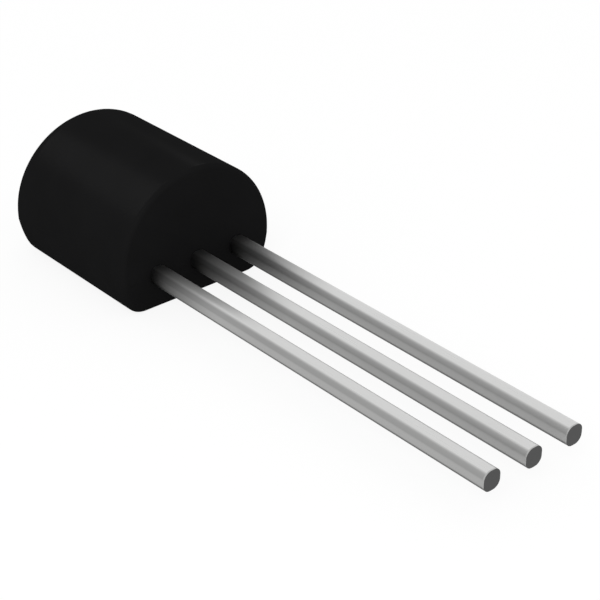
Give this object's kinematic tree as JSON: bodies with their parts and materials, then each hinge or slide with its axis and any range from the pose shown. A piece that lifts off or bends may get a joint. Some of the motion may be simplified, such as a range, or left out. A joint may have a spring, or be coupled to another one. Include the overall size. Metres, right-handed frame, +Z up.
{
  "type": "shunt regulator",
  "caption": "Through-hole shunt voltage regulator: a D-shaped black moulded body lying on its flat side, with straight tin-plated leads in a row.",
  "frame": {"origin": "on the middle lead's axis, where it leaves the moulded body", "axes": "+X along the leads to their tips, +Y across the row of leads to the reference lead, +Z up from the flat to the round side"},
  "size_m": [0.0169, 0.0046, 0.0036],
  "materials": {
    "epoxy": "black moulding compound, fine matt texture",
    "tinned_lead": "satin tin plate over copper alloy",
    "silicon": "polished silicon",
    "solder": "dull solder",
    "bond_wire": "drawn gold"
  },
  "bodies": {
    "root": {"moulded_body": "epoxy", "anode_lead": "tinned_lead", "cathode_lead": "tinned_lead", "reference_lead": "tinned_lead", "regulator_chip": "silicon", "chip_solder": "solder", "anode_wire": "bond_wire", "cathode_wire": "bond_wire", "reference_wire": "bond_wire"}
  },
  "joints": []
}
